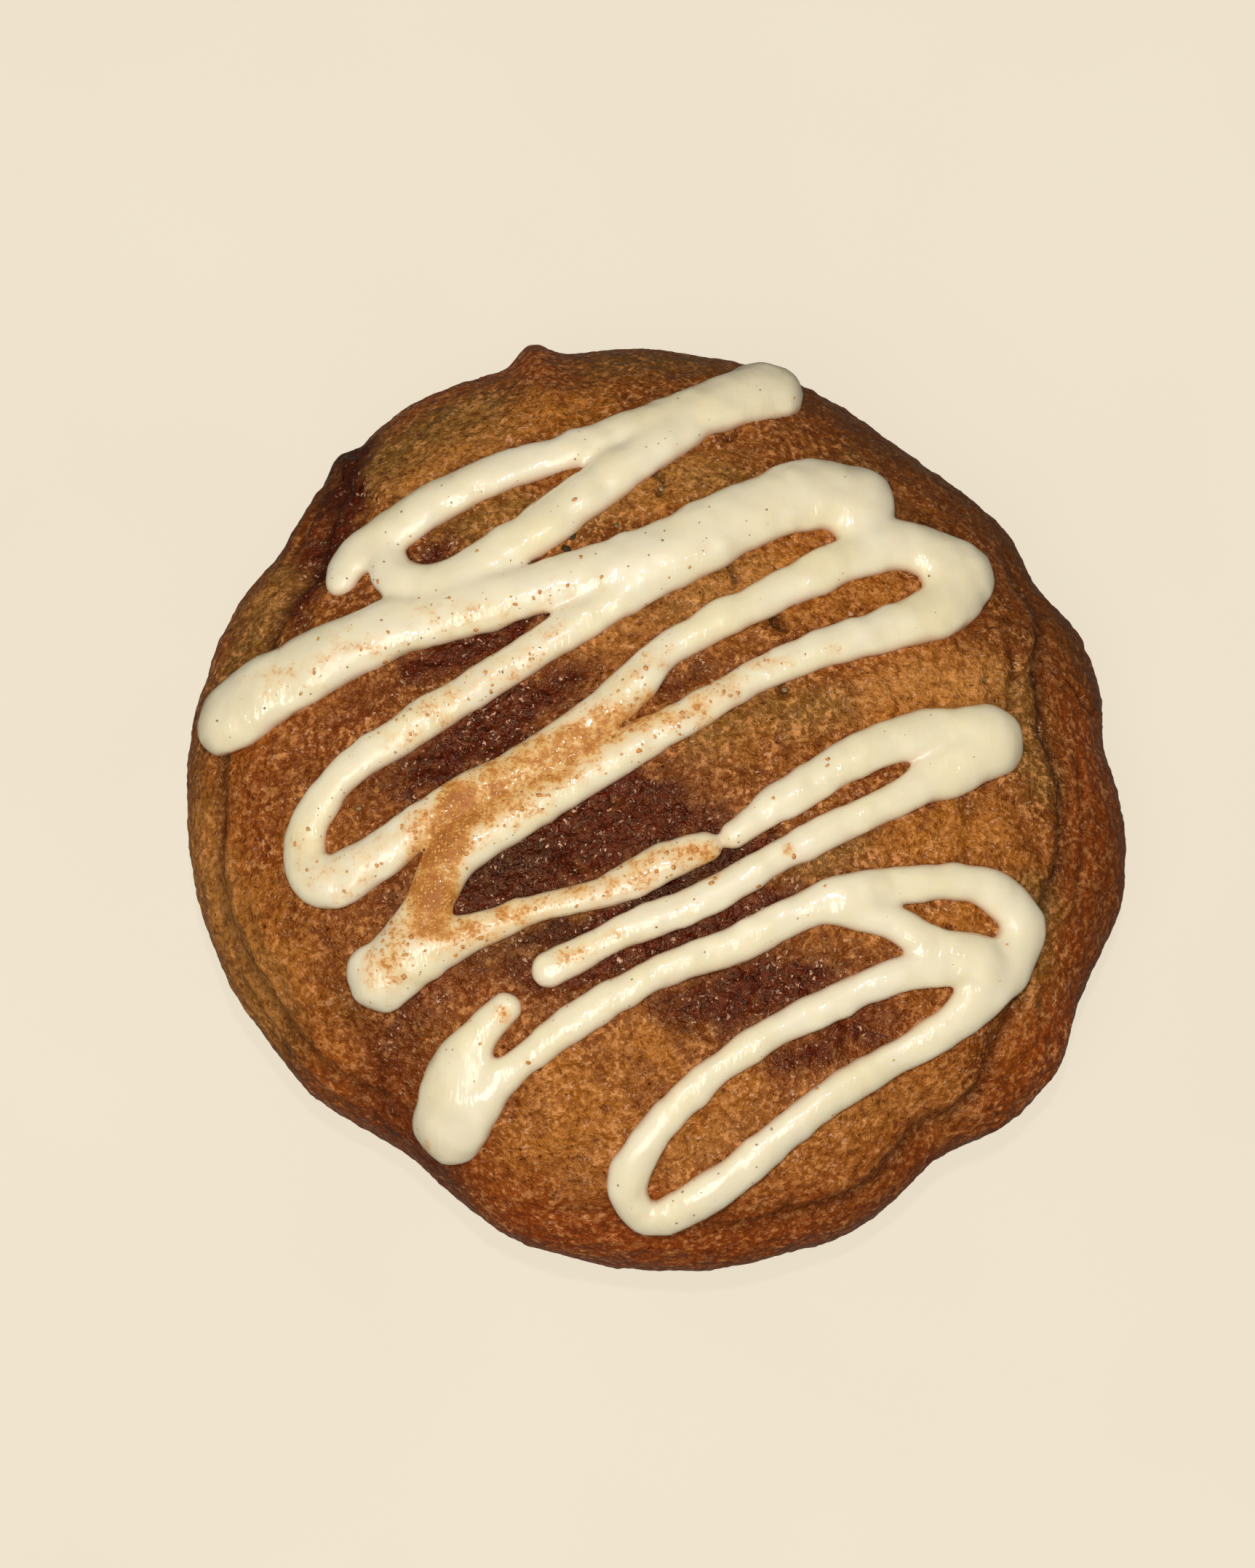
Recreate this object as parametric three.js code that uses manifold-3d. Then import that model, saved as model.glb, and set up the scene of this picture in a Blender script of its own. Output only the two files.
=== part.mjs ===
// A frosted cinnamon roll, baked singly, standing on its flat base. Millimetres.
// The origin is the middle of the base. +Z is up, +X is to the viewer's right, +Y is away.
// One solid: the coiled dough, with the thick drizzle of icing fused to its domed top.
import * as THREE from 'three';
import { mergeVertices } from 'three/addons/utils/BufferGeometryUtils.js';
import Module from 'manifold-3d';

const wasm = await Module();
wasm.setup();

// ---- Dough: driving sizes ----
const rollRadius = 49.8;
const rollHeight = 31;
const widestHeight = 12.5; // where the wall stands furthest out
const domePower = 2.4; // 2 is an ellipse, more is a flatter top with a rounder shoulder
const baseTuck = 0.1; // share of the radius that the base stands in from the widest line

// Bulges and dents round the rim: [degrees, outwards, half width in degrees].
const rimBumps = [
  [6, -1.4, 4.5],
  [15, -0.4, 4],
  [29, -1.95, 6.5],
  [53, -2.6, 17],
  [97, 0.8, 10],
  [105, 2.1, 2.6],
  [121, 1.5, 11],
  [133, 1.1, 2.6],
  [147, -1.1, 6],
  [172, 0.35, 10],
  [216, -1, 12],
  [235, -3.25, 11],
  [245, -0.4, 5],
  [280, 1.2, 20],
  [294, 0.5, 5],
  [306, -1, 4.5],
  [316, 0.8, 4],
  [324, 2.1, 7.5],
  [347, 1.2, 9],
];

// The seam where the outer coil lies against the next one:
// [degrees, distance in from the rim, depth]. With no depth, the coils have baked together.
const seamStations = [
  [14, 7.7, 1.1],
  [27, 3.2, 0.8],
  [38, 2.6, 0],
  [125, 2.6, 0],
  [137, 4, 0.9],
  [150, 6.3, 1.2],
  [166, 6.8, 1.2],
  [180, 4.2, 1],
  [200, 2.4, 0.9],
  [226, 2.2, 0.6],
  [244, 2.6, 0],
  [258, 3, 0],
  [274, 2.9, 0.6],
  [296, 2.2, 0.8],
  [310, 2.6, 0.9],
  [324, 7, 1.1],
  [347, 7.5, 1.1],
];
const seamHalfWidth = 1.1;
const coilStepShare = 0.4; // drop from the inner coil to the outer one, as a share of the depth
const rimFade = 8; // relief of the top dies out over the last eighth of the radius

// Swells and hollows of the top: [x, y, upwards, half width].
const topSwells = [
  [-35, 25, -1, 5],
  [-42, -8, -0.6, 7],
  [-16, 4, -0.6, 9],
  [-8, -9, -0.8, 10],
  [10, -24, -0.6, 8],
  [-27, -33, -1, 7],
  [33, -5, -0.7, 4],
  [-2, -38, 0.7, 11],
  [8, 26, 0.6, 12],
  [30, 8, 0.5, 8],
  [-38, -20, 0.5, 9],
];

const turns = 90; // facets round the roll
const innerRings = 11; // rings from the middle to the seam
const wallRings = 4; // rings from the widest line down to the base

// ---- Icing: driving sizes ----
const strandSides = 8;
const strandStep = 3.5;
const strandHeightShare = 0.9; // height of a strand of 1 mm half width
const strandHeightPower = 0.85; // wide strands lie flatter than thin ones

// The strands' middle lines in the order that they were drizzled: [x, y, half width].
const topStrand = [
  [12, 42, 4.1], [5, 38.6, 3.3], [-4, 35.1, 2.5], [-10, 33.1, 2.4], [-14, 31.9, 2.2],
  [-18, 30.4, 2.5], [-22.2, 28.4, 2.6], [-28, 24.8, 2.6], [-32, 21.8, 2.4], [-32.8, 20.1, 2.1],
];
const secondStrand = [
  [3, 36, 2.5], [-3.2, 31.5, 2.8], [-10.2, 25.8, 2.7], [-17, 21, 2.6], [-23.3, 18.2, 2.5],
  [-27, 19.5, 2.3], [-28.2, 22.2, 2.1],
];
const wideStrand = [
  [-44.5, 5.9, 4.1], [-37, 9.6, 4], [-29, 13, 3.5], [-24, 14.5, 3.1], [-18, 15.8, 3.1],
  [-10, 18.1, 2.9], [0, 20.4, 4], [10, 25.8, 3.7], [17, 28.7, 4.3], [21.2, 28.3, 4.3],
];
const rightLoopTop = [
  [21, 27.5, 4], [22.7, 24.4, 3.1], [27.8, 23, 2.9], [32.1, 20.8, 3.7],
];
const leftLoop = [
  [24, 23.2, 2.8], [18, 20, 2.4], [10, 15.6, 2.1], [7, 14, 2.2], [4, 12, 1.95], [1, 10.3, 1.8],
  [-2, 7.1, 2.2], [-8, 1.7, 2.4], [-15, -2.6, 2.3], [-22.4, -6.3, 2.1], [-28.8, -11, 2.6],
  [-33.3, -13.1, 2.7], [-35.9, -11, 2.5], [-35.6, -7.1, 2.3], [-33, -2.7, 2.05],
  [-28.1, 0.9, 2.05], [-20.3, 5.7, 2.1], [-12.3, 10.8, 2.1], [-5.6, 15.2, 2.3], [-1, 18.4, 2.6],
];
const middleStrand = [
  [32, 20.2, 3.8], [30, 16.4, 3.1], [25, 13.8, 2.5], [17, 10.9, 2.1], [10, 7.5, 1.8],
  [4, 3.6, 1.95], [0, 1.5, 2.1], [-4, -0.6, 2.35], [-10, -4.2, 2.4], [-17, -8.2, 2.7],
  [-21, -11.6, 2.7], [-23.1, -16, 2.4], [-25.8, -20.3, 3.1],
];
const lowerLeftStrand = [
  [-27.8, -22.7, 3.8], [-24.5, -20.9, 3.3], [-19, -18.9, 2.1], [-12, -16.4, 1.55],
  [-5, -14.8, 1.65], [1, -11.9, 2.2], [5, -10.4, 1.7],
];
const rightLobeTop = [
  [8.1, -8.9, 1.6], [11.9, -6.2, 2], [17.7, -2.4, 2.2], [24.6, 1.2, 2.4], [30.2, 2.5, 2.6],
  [34.4, 1.9, 3.9],
];
const rightLobeBottom = [
  [33.8, 1, 3.5], [30, -1.6, 2.7], [25, -4.7, 1.9], [18, -8.4, 1.8], [12, -11.6, 1.85],
  [5, -15.6, 1.95], [-3, -18.9, 1.7], [-10.6, -22.7, 1.85],
];
const shortStrand = [
  [-15, -26.5, 1.7], [-18, -29.2, 2], [-20, -33, 3.6], [-20.9, -37.1, 4.3],
];
const longZigzag = [
  [-19.3, -35.3, 3.9], [-14.8, -32.7, 1.9], [-7.9, -27.7, 1.9], [0, -23.4, 1.7],
  [8, -20.2, 1.9], [15, -16.7, 2], [20.5, -14.8, 2.2], [25.5, -13.8, 1.95], [30.2, -13, 1.8],
  [34.8, -13.8, 2.1], [37.6, -16.6, 2.5], [36.8, -20, 2.7], [33.9, -23.5, 2.9],
  [30, -27.5, 2.1], [24, -31.1, 1.85], [17, -35.6, 1.95], [10, -41, 2.1], [4, -45.1, 2.2],
  [-0.8, -46.8, 2], [-2.8, -44.3, 2.15], [-1.2, -40.2, 2.05], [3.5, -35.2, 1.75],
  [10, -30.1, 1.75], [18, -25.8, 1.85], [25, -22.7, 1.85], [30.5, -21.6, 2.3],
];
const crossingStrand = [
  [19, -16, 2.1], [24, -17.5, 1.95], [28, -19.9, 2.1], [33, -21.6, 3.3],
];
const strands = [
  topStrand, secondStrand, wideStrand, rightLoopTop, leftLoop, middleStrand, lowerLeftStrand,
  rightLobeTop, rightLobeBottom, shortStrand, longZigzag, crossingStrand,
];

const doughMaterial = new THREE.MeshStandardMaterial({ color: '#8c5224', roughness: 0.55 });
const icingMaterial = new THREE.MeshStandardMaterial({ color: '#eee2b8', roughness: 0.35 });

const fullTurn = 2 * Math.PI;

// Shortest way round from one angle to another, in degrees.
function degreesApart(a, b) {
  return ((((a - b + 180) % 360) + 360) % 360) - 180;
}

function rimRadius(angle) {
  const degrees = THREE.MathUtils.radToDeg(angle);
  let r = rollRadius;
  for (const [at, out, halfWidth] of rimBumps) {
    r += out * Math.exp(-((degreesApart(degrees, at) / halfWidth) ** 2));
  }
  return r;
}

// Inset and depth of the seam at an angle, eased between the stations.
function seamAt(angle) {
  const degrees = ((THREE.MathUtils.radToDeg(angle) % 360) + 360) % 360;
  const last = seamStations.length - 1;
  let from = seamStations[last];
  let to = seamStations[0];
  for (let i = 0; i < last; i += 1) {
    if (degrees >= seamStations[i][0] && degrees < seamStations[i + 1][0]) {
      from = seamStations[i];
      to = seamStations[i + 1];
    }
  }
  const span = (to[0] - from[0] + 360) % 360;
  const gone = (degrees - from[0] + 360) % 360;
  const t = THREE.MathUtils.smoothstep(gone, 0, span);
  return {
    inset: THREE.MathUtils.lerp(from[1], to[1], t),
    depth: THREE.MathUtils.lerp(from[2], to[2], t),
  };
}

function domeHeight(share) {
  const rise = rollHeight - widestHeight;
  return widestHeight + rise * Math.sqrt(Math.max(0, 1 - share ** domePower));
}

function swellAt(x, y) {
  let z = 0;
  for (const [atX, atY, up, halfWidth] of topSwells) {
    z += up * Math.exp(-((x - atX) ** 2 + (y - atY) ** 2) / halfWidth ** 2);
  }
  return z;
}

// Height of the top under a point, with its swells, without the seam's groove.
function topHeight(x, y) {
  const angle = Math.atan2(y, x);
  const share = Math.min(1, Math.hypot(x, y) / rimRadius(angle));
  const { inset, depth } = seamAt(angle);
  const seamRadius = rimRadius(angle) - inset;
  const onOuterCoil = THREE.MathUtils.smoothstep(Math.hypot(x, y), seamRadius, seamRadius + seamHalfWidth);
  const relief = swellAt(x, y) - coilStepShare * depth * onOuterCoil;
  const fadeAtRim = Math.min(1, (1 - share) * rimFade);
  return domeHeight(share) + relief * fadeAtRim;
}

// One ring of the dough: a radius and a height for each facet.
function ring(radiusAt, heightAt) {
  const points = [];
  for (let i = 0; i < turns; i += 1) {
    const angle = (i / turns) * fullTurn;
    const r = radiusAt(angle);
    const x = r * Math.cos(angle);
    const y = r * Math.sin(angle);
    points.push(new THREE.Vector3(x, y, heightAt(x, y, angle)));
  }
  return points;
}

// Rings from the middle of the top, over the seam and the rim, down to the base.
function doughRings() {
  const rings = [];
  const seamInner = (angle) => rimRadius(angle) - seamAt(angle).inset - seamHalfWidth;
  for (let k = 1; k <= innerRings; k += 1) {
    rings.push(ring((angle) => (seamInner(angle) * k) / innerRings, topHeight));
  }
  const seamMiddle = (angle) => rimRadius(angle) - seamAt(angle).inset;
  const groove = (x, y, angle) => topHeight(x, y) - seamAt(angle).depth;
  rings.push(ring(seamMiddle, groove));
  for (const share of [0.4, 0.75, 0.95]) {
    const outerCoil = (angle) => rimRadius(angle) - seamAt(angle).inset * (1 - share);
    rings.push(ring(outerCoil, topHeight));
  }
  for (let k = 0; k <= wallRings; k += 1) {
    const down = (k / wallRings) * (Math.PI / 2);
    const tucked = 1 - baseTuck * (1 - Math.cos(down));
    const z = widestHeight * (1 - Math.sin(down));
    rings.push(ring((angle) => rimRadius(angle) * tucked, () => z));
  }
  return rings;
}

// A closed surface through rings of equal length, between a first and a last point.
function closedSurface(rings, first, last) {
  const count = rings[0].length;
  const position = [first, ...rings.flat(), last].flatMap((p) => [p.x, p.y, p.z]);
  const at = (row, i) => 1 + row * count + (i % count);
  const end = 1 + rings.length * count;
  const index = [];
  for (let i = 0; i < count; i += 1) {
    index.push(0, at(0, i), at(0, i + 1));
    for (let row = 0; row + 1 < rings.length; row += 1) {
      index.push(at(row, i), at(row + 1, i), at(row + 1, i + 1));
      index.push(at(row, i), at(row + 1, i + 1), at(row, i + 1));
    }
    index.push(at(rings.length - 1, i), end, at(rings.length - 1, i + 1));
  }
  const geometry = new THREE.BufferGeometry();
  geometry.setAttribute('position', new THREE.Float32BufferAttribute(position, 3));
  geometry.setIndex(index);
  return geometry;
}

function doughGeometry() {
  const top = new THREE.Vector3(0, 0, topHeight(0, 0));
  const baseMiddle = new THREE.Vector3(0, 0, 0);
  return closedSurface(doughRings(), top, baseMiddle);
}

// The way out of the top at a point, from its slope.
function topNormal(x, y) {
  const reach = 0.5;
  const slopeX = (topHeight(x + reach, y) - topHeight(x - reach, y)) / (2 * reach);
  const slopeY = (topHeight(x, y + reach) - topHeight(x, y - reach)) / (2 * reach);
  return new THREE.Vector3(-slopeX, -slopeY, 1).normalize();
}

// Points along a strand: the place on the dough and the half width there.
function strandSections(points) {
  const centre = new THREE.CatmullRomCurve3(
    points.map(([x, y, halfWidth]) => new THREE.Vector3(x, y, halfWidth)), false, 'centripetal');
  const steps = Math.ceil(centre.getLength() / strandStep);
  const sections = [];
  for (let i = 0; i <= steps; i += 1) {
    const { x, y, z } = centre.getPointAt(i / steps);
    const t = centre.getTangentAt(i / steps);
    const along = new THREE.Vector3(t.x, t.y, 0).normalize();
    sections.push({ x, y, halfWidth: z, along });
  }
  return sections;
}

// Round ends: the first and last sections again, smaller and further out.
function withRoundEnds(sections) {
  const roundness = [0.55, 0.88];
  const beyond = (section, way) => roundness.map((share) => ({
    x: section.x + way * share * section.halfWidth * section.along.x,
    y: section.y + way * share * section.halfWidth * section.along.y,
    halfWidth: section.halfWidth * Math.sqrt(1 - share ** 2),
    along: section.along,
  }));
  const last = sections[sections.length - 1];
  return [...beyond(sections[0], -1).reverse(), ...sections, ...beyond(last, 1)];
}

// The ring of a strand at one section: an ellipse whose middle lies on the dough.
function sectionRing({ x, y, halfWidth, along }) {
  const normal = topNormal(x, y);
  const side = new THREE.Vector3().crossVectors(along, normal).normalize();
  const middle = new THREE.Vector3(x, y, topHeight(x, y));
  const high = strandHeightShare * halfWidth ** strandHeightPower;
  const points = [];
  for (let k = 0; k < strandSides; k += 1) {
    const turn = (k / strandSides) * fullTurn;
    points.push(middle.clone()
      .addScaledVector(side, halfWidth * Math.cos(turn))
      .addScaledVector(normal, high * Math.sin(turn)));
  }
  return points;
}

function strandGeometry(points) {
  const sections = withRoundEnds(strandSections(points));
  const rings = sections.map(sectionRing);
  const middleOf = (list) => list
    .reduce((sum, p) => sum.add(p), new THREE.Vector3())
    .divideScalar(list.length);
  return closedSurface(rings, middleOf(rings[0]), middleOf(rings[rings.length - 1]));
}

function solidOf(geometry) {
  const merged = mergeVertices(geometry, 1e-4);
  return new wasm.Manifold(new wasm.Mesh({
    numProp: 3,
    vertProperties: new Float32Array(merged.attributes.position.array),
    triVerts: new Uint32Array(merged.index.array),
  }));
}

// A solid back as a geometry, with one group for the dough's faces and one for the icing's.
function geometryOf(solid, doughId) {
  const mesh = solid.getMesh();
  const geometry = new THREE.BufferGeometry();
  geometry.setAttribute('position', new THREE.BufferAttribute(mesh.vertProperties, 3));
  geometry.setIndex(new THREE.BufferAttribute(mesh.triVerts, 1));
  for (let run = 0; run < mesh.runOriginalID.length; run += 1) {
    const start = mesh.runIndex[run];
    const count = mesh.runIndex[run + 1] - start;
    geometry.addGroup(start, count, mesh.runOriginalID[run] === doughId ? 0 : 1);
  }
  return geometry;
}

function cinnamonRoll() {
  const dough = solidOf(doughGeometry());
  let roll = dough;
  for (const points of strands) {
    roll = roll.add(solidOf(strandGeometry(points)));
  }
  const mesh = new THREE.Mesh(geometryOf(roll, dough.originalID()), [doughMaterial, icingMaterial]);
  mesh.name = 'cinnamon_roll';
  return mesh;
}

const part = new THREE.Group();
part.add(cinnamonRoll());
export default part;
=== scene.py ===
"""A frosted cinnamon roll: baked dough, thick drizzled icing and loose cinnamon.

The roll stands on the origin, +Z up, +X to the right and +Y away from the viewer.
Sizes are in millimetres up to the last step of each mesh, which makes them metres.
"""
import itertools

import bpy
import numpy as np
from mathutils import Matrix, Vector


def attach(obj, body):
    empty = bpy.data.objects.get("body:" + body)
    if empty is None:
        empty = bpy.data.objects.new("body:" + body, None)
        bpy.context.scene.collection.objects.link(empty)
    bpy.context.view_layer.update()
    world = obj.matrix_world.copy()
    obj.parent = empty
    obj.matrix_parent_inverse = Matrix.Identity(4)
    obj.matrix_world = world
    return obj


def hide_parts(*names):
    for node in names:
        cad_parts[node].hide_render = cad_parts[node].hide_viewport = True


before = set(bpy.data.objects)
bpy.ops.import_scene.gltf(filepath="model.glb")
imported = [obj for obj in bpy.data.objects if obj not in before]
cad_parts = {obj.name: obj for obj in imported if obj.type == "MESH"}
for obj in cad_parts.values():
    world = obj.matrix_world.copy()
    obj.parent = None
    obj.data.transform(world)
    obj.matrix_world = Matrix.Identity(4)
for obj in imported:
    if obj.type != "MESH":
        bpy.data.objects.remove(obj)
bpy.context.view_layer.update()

MM = 0.001
ROOT = "root"
NODE = "cinnamon_roll"

# ---- Dough: driving sizes, as in the solid ----
ROLL_RADIUS = 49.8
ROLL_HEIGHT = 31
WIDEST_HEIGHT = 12.5
DOME_POWER = 2.4
BASE_TUCK = 0.1

# Bulges and dents round the rim: (degrees, outwards, half width in degrees).
RIM_BUMPS = [
    (6, -1.4, 4.5), (15, -0.4, 4), (29, -1.95, 6.5), (53, -2.6, 17), (97, 0.8, 10), (105, 2.1, 2.6),
    (121, 1.5, 11), (133, 1.1, 2.6), (147, -1.1, 6), (172, 0.35, 10), (216, -1, 12),
    (235, -3.25, 11), (245, -0.4, 5), (280, 1.2, 20), (294, 0.5, 5),
    (306, -1, 4.5), (316, 0.8, 4), (324, 2.1, 7.5), (347, 1.2, 9),
]

# The seam where the outer coil lies on the next one: (degrees, distance in from the rim, depth).
SEAM_STATIONS = [
    (14, 7.7, 1.1), (27, 3.2, 0.8), (38, 2.6, 0), (125, 2.6, 0), (137, 4, 0.9), (150, 6.3, 1.2),
    (166, 6.8, 1.2), (180, 4.2, 1), (200, 2.4, 0.9), (226, 2.2, 0.6), (244, 2.6, 0), (258, 3, 0),
    (274, 2.9, 0.6), (296, 2.2, 0.8), (310, 2.6, 0.9), (324, 7, 1.1), (347, 7.5, 1.1),
]
SEAM_HALF_WIDTH = 1.1
COIL_STEP_SHARE = 0.4
RIM_FADE = 8

# Swells and hollows of the top: (x, y, upwards, half width).
TOP_SWELLS = [
    (-35, 25, -1, 5), (-42, -8, -0.6, 7), (-16, 4, -0.6, 9), (-8, -9, -0.8, 10),
    (10, -24, -0.6, 8), (-27, -33, -1, 7), (33, -5, -0.7, 4), (-2, -38, 0.7, 11),
    (8, 26, 0.6, 12), (30, 8, 0.5, 8), (-38, -20, 0.5, 9),
]

# ---- Dough: fine relief ----
GRID_STEPS = 280  # cells along each side of the square that is bent onto the top
WALL_ROWS = 16
GROOVE_HALF_WIDTH = 0.8
GROOVE_DEPTH_SHARE = 0.85
FILLING_SINK = 0.35  # the filling lies lower than the crust beside it
RELIEF_LAYERS = [  # (wavelength, height, seed)
    (9, 0.28, 1), (4.2, 0.18, 2), (2.2, 0.13, 3), (1.3, 0.12, 4), (0.9, 0.1, 8),
]
FILLING_LAYERS = [(3.4, 0.16, 5), (1.5, 0.12, 6), (1.0, 0.12, 9)]
CRUMB_LAYERS = [(2.8, 0.2, 31), (1.6, 0.12, 32)]  # where the crust is golden
RIM_RELIEF_SHARE = 0.6  # the relief is lower on the rim
RIM_DRAW = 0.12  # and its peaks are drawn in to the outline of the solid

# Cracks and creases: (half width, depth, points).
CREASES = [
    (0.35, 0.7, [(37.6, 12.3), (37.9, 10), (37.2, 8), (37.3, 6.2), (36.6, 4.9)]),
    (0.3, 0.5, [(43.7, 10.8), (46, 8.2), (46.9, 7.6)]),
    (0.4, 0.4, [(35.6, -24), (34.2, -29), (32, -33.5)]),
    (0.5, 0.35, [(-45.5, -14), (-43, -22), (-38, -29.5), (-33, -34.5)]),
    (0.5, 0.35, [(-42.5, -14.5), (-40.5, -20), (-37, -26)]),
    (0.5, 0.3, [(-10, -46), (3, -47.3), (14, -45.4)]),
    (0.45, 0.35, [(44.5, 2), (45.2, -6), (44.3, -13)]),
    (0.35, 0.3, [(-40.5, 20), (-38, 26.5), (-36.5, 31)]),
    (0.3, 0.35, [(-46.3, 3.2), (-46.6, -4), (-46, -10)]),
    (0.35, 0.9, [(0.2, 31.3), (1.2, 29.8)]),
    (0.3, 0.8, [(0.5, 29.2), (0.4, 28.2)]),
    (0.3, 0.9, [(7.4, 20.9), (8.4, 18.4)]),
    (0.4, 1.2, [(12.3, 14.9), (12.7, 13.9), (13.3, 13.2)]),
]

# Pits: (x, y, radius, depth).
PITS = [
    (12.5, 14, 0.6, 1), (13.3, 6.5, 0.6, 1), (7.8, 36, 0.6, 0.8), (8.8, 36.3, 0.5, 0.7),
    (8.5, 2, 0.4, 0.5), (-30.5, -5.5, 0.55, 0.5), (-38, -17.6, 0.5, 0.5),
    (-9, -38.4, 0.45, 0.5), (34.5, 8.6, 0.4, 0.5), (32.4, -5.2, 1, 0.5),
    (46.5, -4.3, 0.8, 0.5), (0.8, 28.8, 0.4, 0.4), (3.4, 31.5, 0.45, 0.4), (12.5, 34.8, 0.5, 0.4),
]
RANDOM_PITS = 170

# How far the edges of the coloured areas wander, over what wavelength.
EDGE_WANDER = 1.1
WANDER_WAVELENGTH = 5

# ---- Dough: where the filling shows, where the crust is golden, red, olive or pale, and where shade is painted ----
# Each is (strength, soft edge, [(x, y, half width), ...]).
FILLING_BANDS = [
    (1.0, 2.2, [(-33, 37, 2.4), (-33.4, 32, 2.6), (-34.6, 26, 2.4), (-36.4, 20.5, 1.6),
                (-38.2, 16.6, 1.4)]),
    (0.4, 2.2, [(-39.5, 14.3, 1.2), (-42.5, 8, 1.2), (-43.6, 2.3, 1), (-44.2, -4.7, 1)]),
    (1.0, 1.8, [(-11, 14.6, 1.6), (-17, 12.2, 2.2), (-21, 10.4, 2.2), (-25, 8.6, 1.4)]),
    (0.6, 3.2, [(-25, 8.6, 1.2), (-30, 5.8, 1), (-34, 3, 0.4)]),
    (1.0, 3, [(-7, 8.4, 1.2), (-12, 5.8, 2.8), (-16, 2.6, 4.4), (-21, -0.6, 4), (-25, -2.6, 2.4)]),
    (0.7, 3, [(-26, -2, 2), (-28.5, -3.6, 1.2)]),
    (1.0, 1.6, [(-13, -19.8, 1), (-8, -18.6, 1.6)]),
    (1.0, 2.2, [(-22, -17, 4.4), (-15, -12.5, 5), (-8, -8.6, 5), (-1, -6, 4.8)]),
    (0.85, 3.2, [(-1, -6, 4), (5, -8, 2.6)]),
    (1.0, 1.8, [(-8, -19, 1.8), (3, -13.4, 2.2), (9, -10.8, 2), (12, -9, 0.8)]),
    (1.0, 2, [(-9, -24, 1.4), (0, -20.6, 2.2), (6, -18.2, 2.2), (11, -16.2, 2), (14, -15, 1)]),
    (0.8, 3, [(-8, -22.6, 2.4), (-13, -22.4, 3)]),
    (1.0, 2.6, [(1, -26.4, 1.4), (6, -26, 3), (12, -24.4, 3.4), (17, -23, 2.2), (19.5, -22.4, 1)]),
    (0.9, 3, [(13, -31.4, 1.4), (18, -30, 2.6), (22.5, -28, 1.6)]),
    (0.65, 3.6, [(-20, -22.6, 1.6), (-25.6, -27, 2.6), (-28.6, -33, 3), (-27, -38, 3.6),
                 (-23, -42.8, 3.6)]),
    (0.6, 3, [(-24.6, -8, 1.6), (-27.4, -15, 2.4)]),
    (1.0, 2, [(-25.4, 21, 1.6), (-21.5, 22.6, 1)]),
    (0.75, 1.8, [(1, 6.4, 1), (5, 8.4, 1)]),
]
GOLDEN_AREAS = [
    (1.0, 4, [(-16, 26, 2), (-4, 30, 3), (6, 28, 3)]),
    (0.9, 3, [(-25, 32, 2), (-18, 37, 2), (-7, 39, 2)]),
    (0.9, 3, [(8, 17, 2), (16, 22, 2)]),
    (0.8, 3, [(13, 15, 2), (24, 18, 2)]),
    (0.6, 4, [(8, 2, 3), (18, 4.6, 3)]),
    (1.0, 4, [(24, 6, 4), (31, 8.4, 3)]),
    (0.9, 3, [(26, -9.6, 2), (34, -8, 3)]),
    (1.0, 3, [(20, -18.8, 1), (22, -18.2, 1.5), (28, -17.8, 1)]),
    (1.0, 2, [(32, -17, 2)]),
    (0.9, 4, [(-10, -33, 2), (-6, -38, 4), (-14, -42, 3)]),
    (0.8, 2.4, [(-1, -30, 2), (2, -32, 1)]),
    (0.7, 3, [(4, -39, 2), (10, -34.4, 2)]),
    (0.5, 4, [(14, -41, 3), (22, -37, 3), (29, -32.6, 3)]),
    (1.0, 4, [(-44, 6, 3), (-46, -4, 3), (-43, -16, 4), (-39, -24, 4), (-34, -32, 3)]),
    (0.8, 3, [(-42, 13, 2), (-38.4, 21, 1)]),
    (0.8, 3, [(38, -22, 2), (37, -29, 2)]),
]
RED_AREAS = [
    (0.9, 4, [(-41, 4, 2), (-41, -3, 2), (-41.5, -8, 2)]),
    (0.7, 4, [(-35, 2, 2), (-29, 4, 2)]),
    (0.8, 4, [(-30, -4, 2), (-24, 0, 2)]),
    (0.8, 4, [(-24, -22, 3), (-14, -22, 3)]),
    (0.9, 5, [(46, 8, 3), (47, -8, 4), (43, -20, 3), (41, -28, 3)]),
    (0.9, 4, [(36, -38, 3), (22, -45, 3), (0, -49, 3), (-14, -48, 3)]),
    (0.5, 4, [(20, 9, 3), (28, 12, 3)]),
    (0.7, 4, [(24, -28, 3), (16, -31, 3)]),
    (0.6, 4, [(-38, 22, 2), (-32, 36, 3)]),
]
OLIVE_AREAS = [
    (1.0, 4, [(-32, 33, 3), (-24, 38, 3), (-17, 41, 2)]),
    (0.6, 3, [(-49, 4, 2), (-48, -8, 2), (-44, -20, 3), (-38, -28, 2)]),
    (1.0, 3, [(-46, 8, 2), (-43, 16, 2), (-39, 22, 2)]),
    (0.8, 3, [(-20, 25, 2), (-14, 28, 2)]),
    (0.6, 3, [(2, 15.4, 2), (9, 19, 2)]),
    (0.7, 3, [(5, 1, 2), (12, 5, 2)]),
    (0.6, 3, [(22, 34, 1.5)]),
    (0.9, 3, [(-10, 25, 2), (0, 31, 2), (8, 30, 2)]),
    (0.8, 3, [(38, 8, 2), (40, -2, 2)]),
    (0.7, 3, [(14, -12, 2), (20, -9.6, 2)]),
    (1.1, 3, [(40, -14, 2), (38, -22, 2)]),
    (0.9, 4, [(-6, 46, 2), (4, 47, 2)]),
    (0.8, 3, [(14, 4, 2), (18, 5, 2)]),
]
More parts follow.
